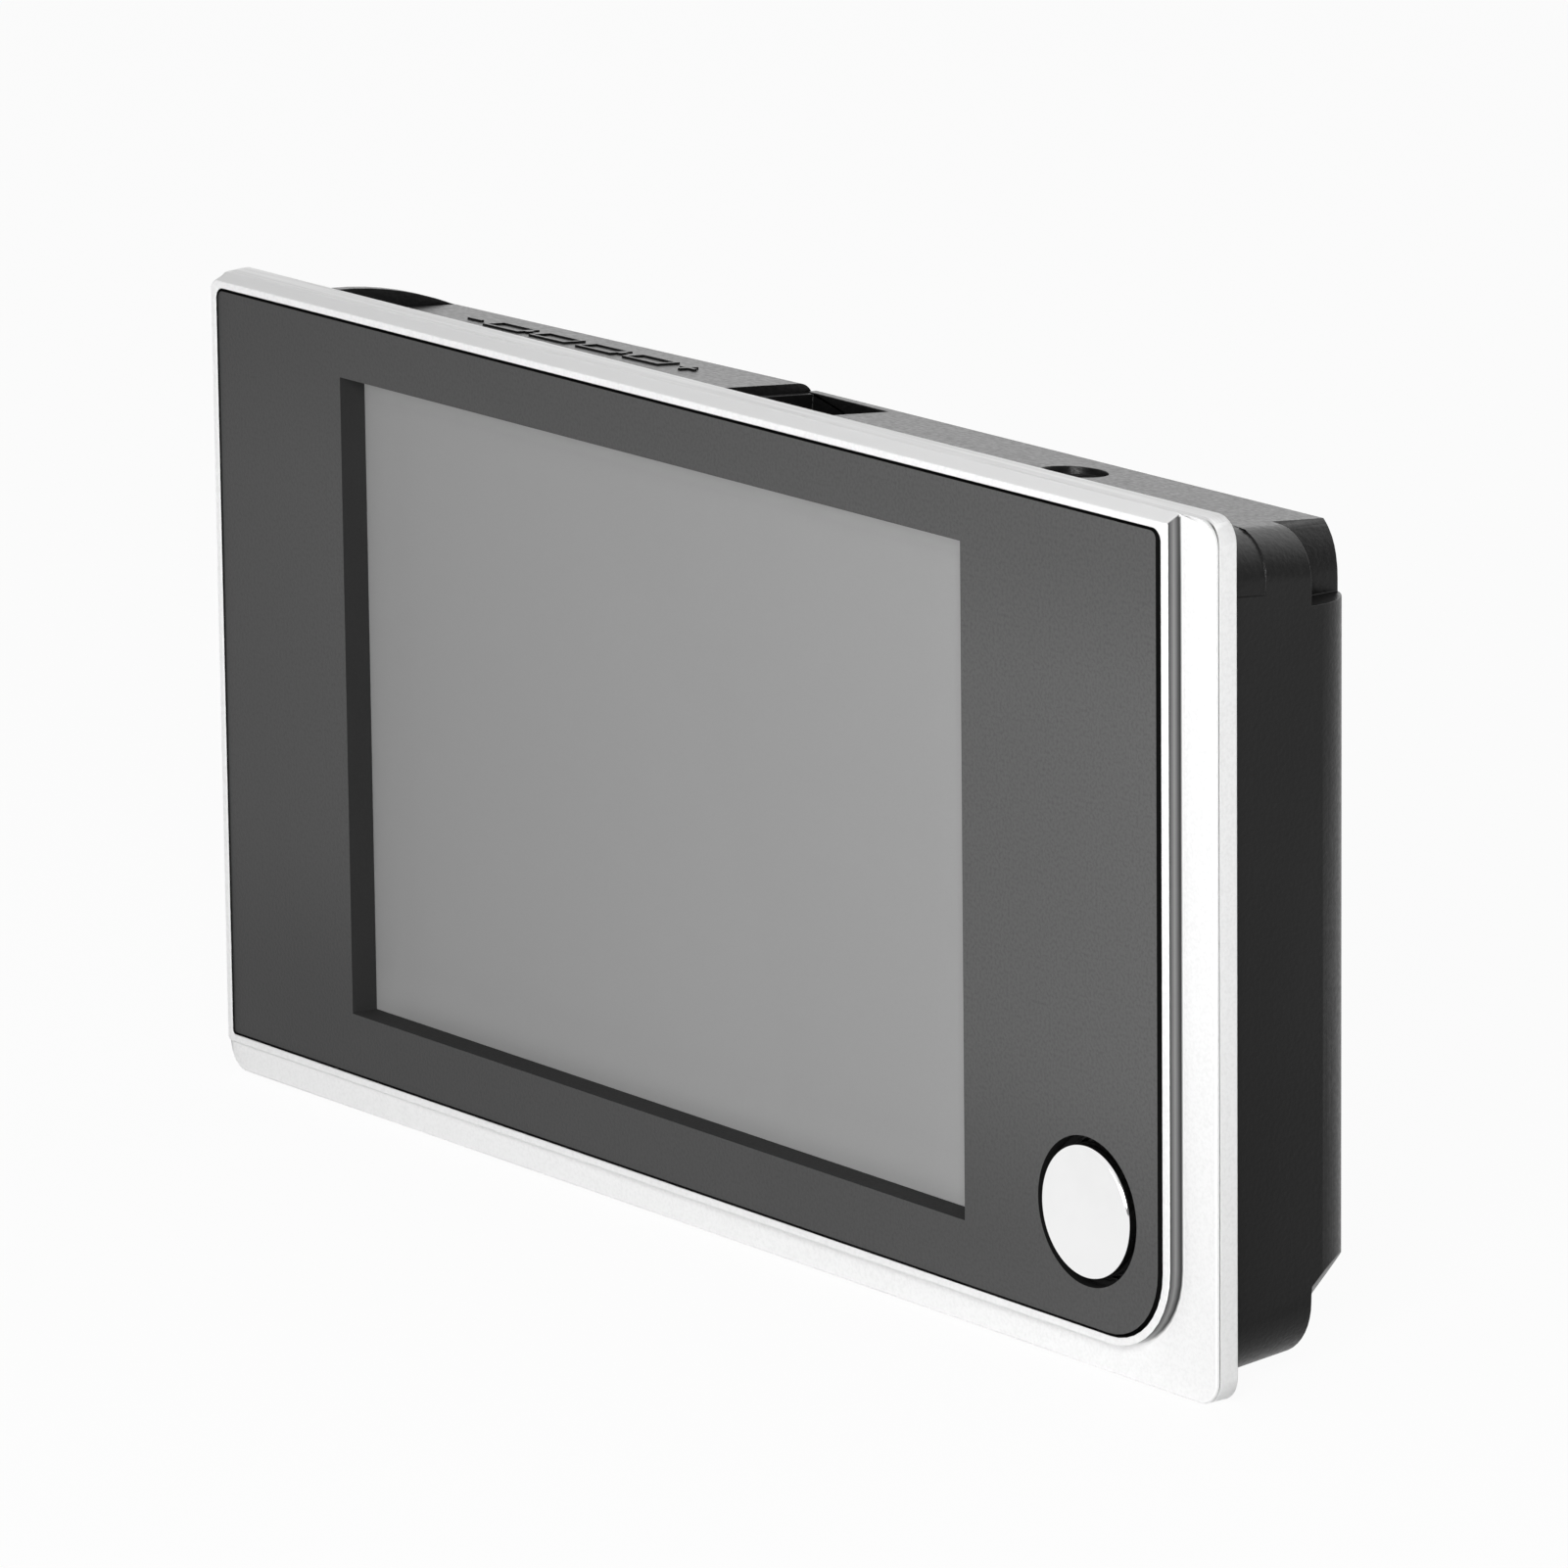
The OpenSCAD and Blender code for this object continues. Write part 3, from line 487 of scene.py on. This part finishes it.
def front_frame():
    """The silver frame as one closed loft: side band with a fine seam, flange, lip, seat and skirt."""
    outer = outline(-62.3, 62.3, -33.3, 33.3, (1.2, 2, 2, 2.2))
    lip = outline(-61.95, 58.36, -30.55, 33.19, (0.95, 0.2, 6.96, 0.35))
    inner = outline(-61.35, 57.55, -29.95, 32.05, (0.95, 0.95, 6.15, 0.35))
    window = outline(-46.2, 35.7, -26.5, 28.85, (0.3, 0.3, 0.3, 0.3))
    skirt_in = outline(-58.8, 58.8, -29.65, 28.7, (3.1, 3.1, 3.1, 3.1))
    skirt_out = outline(-59.7, 59.7, -30.55, 29.6, (4, 4, 4, 4))
    outer_drop, lip_drop, drop_reach = 0.05, 0.48, 2
    flange_forward, flange_lift = 0.75, 0.3
    rise_right, rise_long, rise_top, rise_tall = 20, 80, -24, 6
    joint_round, lip_round, inner_round, least_round, least_room = 0.15, 0.07, 0.08, 0.002, 0.005
    seam_back, seam_front, seam_deep, seam_slope = -14.34, -14.51, 0.1, 0.03
    post_r, post_end, post_sunk = 2.8, -7.9, 0.01
    count = len(outer[0])
    steady = [1.0] * count
    not_top = [1 - max(0.0, n.y) for n in outer[1]]
    rings, slots = [], []

    def fall(curve, i):
        """Share of the falling top at one point: all of it on the top edge, none below its reach."""
        top = max(p.y for p in curve[0])
        return max(0.0, (curve[0][i].y - top + drop_reach) / drop_reach)

    def rise(p):
        """Share by which the flange comes forward: all of it at the lower left end, none on the right."""
        return ease((rise_right - p.x) / rise_long) * ease((rise_top - p.y) / rise_tall)

    low = [Vector((0, outer_drop * (JOINT_Y - FLANGE_Y) * fall(outer, i))) for i in range(count)]
    room = [max(least_room, (outer[0][i] - low[i] - lip[0][i]).dot(outer[1][i])) for i in range(count)]

    def rounds(largest, share):
        """Radius at each point: at most a share of the flange's width, and next to nothing along the top."""
        return [max(least_round, min(largest, share * w) * u) for w, u in zip(room, not_top)]

    def ring(curve, off, y, slot, fall_from=None, flange=False):
        """One loop of the loft; its top falls towards the front, its slot colours the next strip."""
        loop = []
        for i in range(count):
            at = curve[0][i] + curve[1][i] * off[i]
            if fall_from is not None:
                drop = lip_drop if curve is lip else outer_drop
                at = at - Vector((0, drop * (fall_from - y[i]) * fall(curve, i)))
            forward = rise(curve[0][i]) if flange else 0.0
            if curve is outer:
                at = at + Vector((0, flange_lift * forward))
            loop.append((at, y[i] - flange_forward * forward))
        rings.append(loop)
        slots.append(slot)

    def flat_ring(curve, off, y, slot, fall_from=None, share=steady):
        ring(curve, [off * s for s in share], [y] * count, slot, fall_from)

    # Side band from the joint forwards, with its seam
    for back, out in quarter(3):
        flat_ring(outer, -joint_round + joint_round * out, JOINT_Y - joint_round * back, PAINT, JOINT_Y)
    # The seam's strip takes painted shade on the upright sides
    flat_ring(outer, 0, seam_back, SEAM_PAINTED_SHADE, JOINT_Y, not_top)
    flat_ring(outer, -seam_deep, seam_back - seam_slope, SEAM_PAINTED_SHADE, JOINT_Y, not_top)
    flat_ring(outer, -seam_deep, seam_front + seam_slope, SEAM_PAINTED_SHADE, JOINT_Y, not_top)
    flat_ring(outer, 0, seam_front, PAINT, JOINT_Y, not_top)

    # Flange with a rounded edge and a hollow foot at the lip
    edge_r, cove_r = rounds(0.18, 0.4), rounds(0.3, 0.35)
    for inset, fwd in quarter(5):
        off, y = [-r * inset for r in edge_r], [FLANGE_Y + r * (1 - fwd) for r in edge_r]
        ring(outer, off, y, PAINT, JOINT_Y, True)
    # The flange's front takes the silver with painted light
    slots[-1] = FACE_PAINTED_LIGHT
    # The hollow foot and the lip's wall take painted shade
    for inset, fwd in quarter(5):
        off, y = [r * (1 - fwd) for r in cove_r], [FLANGE_Y - r * inset for r in cove_r]
        ring(lip, off, y, WALL_PAINTED_SHADE, FLANGE_Y, True)

    # Front of the lip, then inwards to the seat of the panel, the window and the skirt behind
    # The lip's front takes the silver with painted light
    for inset, fwd in quarter(4):
        flat_ring(lip, -lip_round * inset, FRONT_Y + lip_round * (1 - fwd), FACE_PAINTED_LIGHT, FLANGE_Y)
    for inset, fwd in quarter(3):
        flat_ring(inner, inner_round * (1 - fwd), FRONT_Y + inner_round * inset, PAINT)
    slots[-1] = INSIDE
    for curve, y in ((inner, SEAT_Y), (window, SEAT_Y), (window, PLATE_BACK_Y), (skirt_in, PLATE_BACK_Y),
                     (skirt_in, SKIRT_END_Y), (skirt_out, SKIRT_END_Y), (skirt_out, JOINT_Y)):
        flat_ring(curve, 0, y, INSIDE)

    bm = bmesh.new()
    grid = [[bm.verts.new((p.x * MM, y * MM, p.y * MM)) for p, y in loop] for loop in rings]
    for k in range(len(grid)):
        here, there = grid[k], grid[(k + 1) % len(grid)]
        for i in range(count):
            j = (i + 1) % count
            # The upright sides of the side band take the silver with painted light
            plain_side = slots[k] == PAINT and abs(outer[1][i].x) > 0.5
            face = bm.faces.new((here[i], here[j], there[j], there[i]))
            face.material_index = FACE_PAINTED_LIGHT if plain_side else slots[k]
    bmesh.ops.remove_doubles(bm, verts=bm.verts, dist=0.0000005)
    for x, z in CASE_POSTS:
        prism(bm, circle(x, z, post_r, 24), PLATE_BACK_Y - post_sunk, post_end, upright, INSIDE)
    return make_object("front_frame", bm, [silver, inner_black_and_shade, lip_wall_painted_shade, seam_painted_shade, silver_face_painted_light])


def button_hole():
    """Bore through the frame's plate behind the button."""
    bore_r, before_seat, behind_plate = 5.5, -15.2, -12.9
    bm = bmesh.new()
    prism(bm, circle(*BUTTON, bore_r, 64), before_seat, behind_plate, upright, INSIDE)
    return bm


bezel = front_frame()
cut(bezel, button_hole())
bezel.modifiers.new("weight", "WEIGHTED_NORMAL").keep_sharp = True
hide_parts("front_bezel")
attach(bezel, "case")


# Front panel

def plate(name, loops, y0, y1, mat, edge_mat, window_mat):
    """A flat plate from an outer loop and the loops of its holes, all in the plane of the screen."""
    bm = bmesh.new()
    edges = []
    for loop in loops:
        ring = [bm.verts.new((x * MM, y0 * MM, z * MM)) for x, z in loop]
        edges += [bm.edges.new((ring[i - 1], ring[i])) for i in range(len(ring))]
    face = bmesh.ops.triangle_fill(bm, use_beauty=True, use_dissolve=True, edges=edges)
    front = [f for f in face["geom"] if isinstance(f, bmesh.types.BMFace)]
    back = bmesh.ops.extrude_face_region(bm, geom=front, use_keep_orig=True)
    moved = [v for v in back["geom"] if isinstance(v, bmesh.types.BMVert)]
    bmesh.ops.translate(bm, verts=moved, vec=(0, (y1 - y0) * MM, 0))
    bm.normal_update()
    near = 0.25
    for face in bm.faces:
        mid = face.calc_center_median() / MM
        in_width = WINDOW_X[0] - near < mid.x < WINDOW_X[1] + near
        in_height = WINDOW_Z[0] - near < mid.z < WINDOW_Z[1] + near
        if abs(face.normal.y) > 0.5:
            face.material_index = 0
        else:
            face.material_index = 2 if in_width and in_height else 1
    return make_object(name, bm, [mat, edge_mat, window_mat])


rim = [tuple(p) for p in outline(-61.28, 56.78, -29.82, 31.76, (0.6, 0.6, 5.8, 0.3))[0]]
opening = box(*WINDOW_X, *WINDOW_Z)
button_gap = circle(*BUTTON, 5.75, 72)
panel = plate("front_panel", [rim, opening, button_gap], PANEL_FRONT_Y, PANEL_BACK_Y, panel_painted_light,
              inner_black_and_shade, gasket_black)
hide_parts("face_panel")
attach(panel, "case")


# Push button

def push_button():
    """Domed cap with a rounded rim, the flange behind the frame and the stem on the switch."""
    top, dome, cap, face = -16.45, 0.35, 5.1, 4.85
    flange_r, flange_front, flange_back = 6.4, -13.3, -12.7
    stem_r, stem_end = 2.2, -12.5
    dome_steps, rim_steps = 14, 8
    ball = (face * face + dome * dome) / (2 * dome)
    profile = []
    for i in range(dome_steps + 1):
        r = face * i / dome_steps
        profile.append((r, top + ball - math.sqrt(ball * ball - r * r)))
    low = profile[-1][1]
    slope = math.asin(face / ball)
    turn = math.pi / 2 - slope
    round_r = (cap - face) / (1 - math.sin(slope))
    mid_y = low + round_r * math.cos(slope)
    for i in range(1, rim_steps + 1):
        a = slope + turn * i / rim_steps
        profile.append((cap - round_r + round_r * math.sin(a), mid_y - round_r * math.cos(a)))
    profile += [(cap, flange_front), (flange_r, flange_front), (flange_r, flange_back)]
    profile += [(stem_r, flange_back), (stem_r, stem_end), (0, stem_end)]
    bm = bmesh.new()
    lathe(bm, *BUTTON, profile, 96)
    return make_object("button_cap", bm, [chrome], 60)


button = push_button()
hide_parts("view_button")
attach(button, "button")


# Case screws

def case_screws():
    """Four screws with rounded heads and a crossed recess, seen from behind."""
    shank = [(1, -12.4), (1, -3.2)]
    head = [(2, -3.2), (2, -2.25), (1.9, -2.0), (1.65, -1.84), (1.35, -1.8)]
    recess_arm, recess_half, recess_floor, recess_mouth = 1.25, 0.3, -2.6, -1.5
    bm, recess = bmesh.new(), bmesh.new()
    for x, z in CASE_POSTS:
        lathe(bm, x, z, shank + head, 32)
        corners = [(x + a, z + b) for a, b in cross(recess_arm, recess_half)]
        prism(recess, corners, recess_floor, recess_mouth, upright)
    obj = make_object("screw_set", bm, [zinc])
    cut(obj, recess)
    return obj


screws = case_screws()
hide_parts("case_screws")
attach(screws, "case")


# Signs on the battery lid

def on_top(x, y, up):
    """Point of the housing's falling top, up millimetres above it."""
    along = y - JOINT_Y
    return Vector((x, JOINT_Y + along * math.cos(TOP_DRAFT) + up * math.sin(TOP_DRAFT),
                   TOP_Z - along * math.sin(TOP_DRAFT) + up * math.cos(TOP_DRAFT))) * MM


def lid_marks():
    """Moulded signs on the lid: four cells with their poles, a plus and a minus."""
    sunk, proud = -0.05, 0.16
    lid_left, lid_long, lid_rise = -48.95, 45.45, 0.6
    cell_x, cell_y, step, long, wide, line = -37.9, -6.6, 6.1, 4.6, 2.2, 0.3
    pole_long, pole_low, pole_high = 0.4, 0.7, 1.5
    sign_y, arm, half = -5.5, 0.9, 0.15
    minus_x, plus_x = -40.3, -12.5

    def on_lid(x, y, up):
        return on_top(x, y, up + lid_rise * (x - lid_left) / lid_long)

    bm = bmesh.new()
    for k in range(4):
        x = cell_x + step * k
        outside = box(x, x + long, cell_y, cell_y + wide)
        inside = box(x + line, x + long - line, cell_y + line, cell_y + wide - line)
        ring_prism(bm, outside, inside, sunk, proud, on_lid)
        pole_x = x + long if k % 2 == 0 else x - pole_long
        pole = box(pole_x, pole_x + pole_long, cell_y + pole_low, cell_y + pole_high)
        prism(bm, pole, sunk, proud, on_lid)
    prism(bm, box(minus_x - arm, minus_x + arm, sign_y - half, sign_y + half), sunk, proud, on_lid)
    prism(bm, [(plus_x + a, sign_y + b) for a, b in cross(arm, half)], sunk, proud, on_lid)
    return make_object("lid_marks", bm, [housing_black])


marks = lid_marks()
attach(marks, "lid")


# Rear housing

def rear_case():
    """The housing with its rear edge lowered beside the lid's pivot, in line with the lid's round rear edge.

    The step at its two upper front corners is made finer too.
    """
    data = nodes["rear_housing"].data.copy()
    corner_in, cut_r, fine_r, step_end, hit = 4.43, 4.4, 3.95, -8.98, 0.02
    mid_x, mid_z = SIDE_X - corner_in, TOP_Z - corner_in
    edge_x0, edge_x1, edge_y, edge_z, edge_drop = -53, -48.7, -0.3, 29.5, 0.4
    for v in data.vertices:
        along, up = v.co.y / MM - JOINT_Y, v.co.z / MM - TOP_Z
        y = JOINT_Y + along * math.cos(TOP_DRAFT) - up * math.sin(TOP_DRAFT)
        z = TOP_Z + along * math.sin(TOP_DRAFT) + up * math.cos(TOP_DRAFT)
        aside, above = abs(v.co.x) / MM - mid_x, z - mid_z
        a = math.atan2(above, aside)
        on_arc = abs(math.hypot(above, aside) - cut_r) < hit
        if y < step_end and 0 < a < math.pi / 2 and on_arc:
            out = (cut_r - fine_r) * (1 - math.cos(a)) * MM
            lift = (cut_r - fine_r) * (1 - math.sin(a)) * MM
            out = math.copysign(out, v.co.x)
            v.co += Vector((out, lift * math.sin(TOP_DRAFT), lift * math.cos(TOP_DRAFT)))
        at = v.co / MM
        if edge_x0 < at.x < edge_x1 and at.y > edge_y and at.z > edge_z:
            v.co.z -= edge_drop * MM
    obj = bpy.data.objects.new("rear_case", data)
    obj.matrix_world = nodes["rear_housing"].matrix_world
    scene.collection.objects.link(obj)
    soften(obj, 0.06, segments=2, clamp=False)
    return obj


housing = rear_case()
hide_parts("rear_housing")
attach(housing, "case")


# Floor, light and camera

def floor_material():
    """Pale floor that the camera and mirrors see nearly white."""
    mat, tree, bsdf = new_material("floor_white")
    bsdf.inputs["Base Color"].default_value = (*grey(0.9), 1)
    bsdf.inputs["Roughness"].default_value = 0.9
    bsdf.inputs["Specular IOR Level"].default_value = 0.1
    path = tree.nodes.new("ShaderNodeLightPath").outputs
    seen = calculate(tree, "MAXIMUM", path["Is Camera Ray"], path["Is Glossy Ray"])
    seen = calculate(tree, "MAXIMUM", seen, path["Is Transmission Ray"])
    part = calculate(tree, "MULTIPLY", seen, 0.95)
    glow = tree.nodes.new("ShaderNodeEmission")
    join = tree.nodes.new("ShaderNodeMixShader")
    tree.links.new(part, join.inputs["Fac"])
    tree.links.new(bsdf.outputs["BSDF"], join.inputs[1])
    tree.links.new(glow.outputs["Emission"], join.inputs[2])
    tree.links.new(join.outputs["Shader"], tree.nodes["Material Output"].inputs["Surface"])
    return mat


def make_floor():
    half_size, gap = 4.0, 0.0001
    bm = bmesh.new()
    bmesh.ops.create_grid(bm, x_segments=2, y_segments=2, size=half_size)
    floor = make_object("floor", bm, [floor_material()])
    floor.location.z = cad_box[0].z - gap


def make_world():
    """White for the camera; other rays find it darker at the right, and mirrors brighter at the rear."""
    fill, right_end, front_level, rear_level = 0.2, 0.25, 0.97, 1.55
    world = bpy.data.worlds.new("studio")
    world.use_nodes = True
    scene.world = world
    tree = world.node_tree
    back = tree.nodes["Background"]
    way = axes(tree, "Generated")
    side = map_range(tree, way["X"], 0.25, 0.75, 1.0, right_end, smooth=True)
    rear = map_range(tree, way["Y"], 0.0, 0.4, front_level, rear_level, smooth=True)
    path = tree.nodes.new("ShaderNodeLightPath").outputs
    mirror = calculate(tree, "MAXIMUM", path["Is Glossy Ray"], path["Is Transmission Ray"])
    level = mix(tree, "FLOAT", mirror, fill, rear)
    shade = calculate(tree, "MULTIPLY", side, level)
    tree.links.new(mix(tree, "FLOAT", path["Is Camera Ray"], shade, 1.0), back.inputs["Strength"])
    back.inputs["Color"].default_value = (1, 1, 1, 1)


def area_light(name, spot, width, height, power):
    """A rectangular lamp that looks at the origin, in metres and watts."""
    lamp = bpy.data.lights.new(name, "AREA")
    lamp.shape = "RECTANGLE"
    lamp.size = width
    lamp.size_y = height
    lamp.energy = power
    obj = bpy.data.objects.new(name, lamp)
    scene.collection.objects.link(obj)
    obj.location = spot
    obj.rotation_euler = (-Vector(spot)).to_track_quat("-Z", "Y").to_euler()


def make_camera():
    """Camera solved from the photo: angles in degrees, distance and offsets in millimetres."""
    az, el, roll = (math.radians(a) for a in (52.408, 13.727, -0.64))
    distance, slide_x, slide_y = 876.764, 4.905, 0.091
    focal_pixels, photo_pixels, sensor = 11540.89, 1601, 36
    back = Vector((math.sin(az) * math.cos(el), -math.cos(az) * math.cos(el), math.sin(el)))
    level = Vector((math.cos(az), math.sin(az), 0))
    rise = back.cross(level)
    right = math.cos(roll) * level + math.sin(roll) * rise
    up = math.cos(roll) * rise - math.sin(roll) * level
    data = bpy.data.cameras.new("camera")
    data.sensor_fit = "HORIZONTAL"
    data.sensor_width = sensor
    data.lens = focal_pixels / photo_pixels * sensor
    data.clip_start = 0.01
    data.clip_end = 20
    obj = bpy.data.objects.new("camera", data)
    scene.collection.objects.link(obj)
    turn = Matrix((right, up, back)).transposed().to_4x4()
    turn.translation = (distance * back - slide_x * right - slide_y * up) * MM
    obj.matrix_world = turn
    scene.camera = obj


make_floor()
make_world()
area_light("key", (0.38, -0.375, 0.185), 0.25, 0.25, 2.6)
area_light("front", (-0.05, -0.8, 0.08), 0.3, 0.3, 0.85)
area_light("rear", (0.0, 0.42, 0.62), 0.5, 0.4, 0.4)
make_camera()
scene.view_settings.view_transform = "Standard"
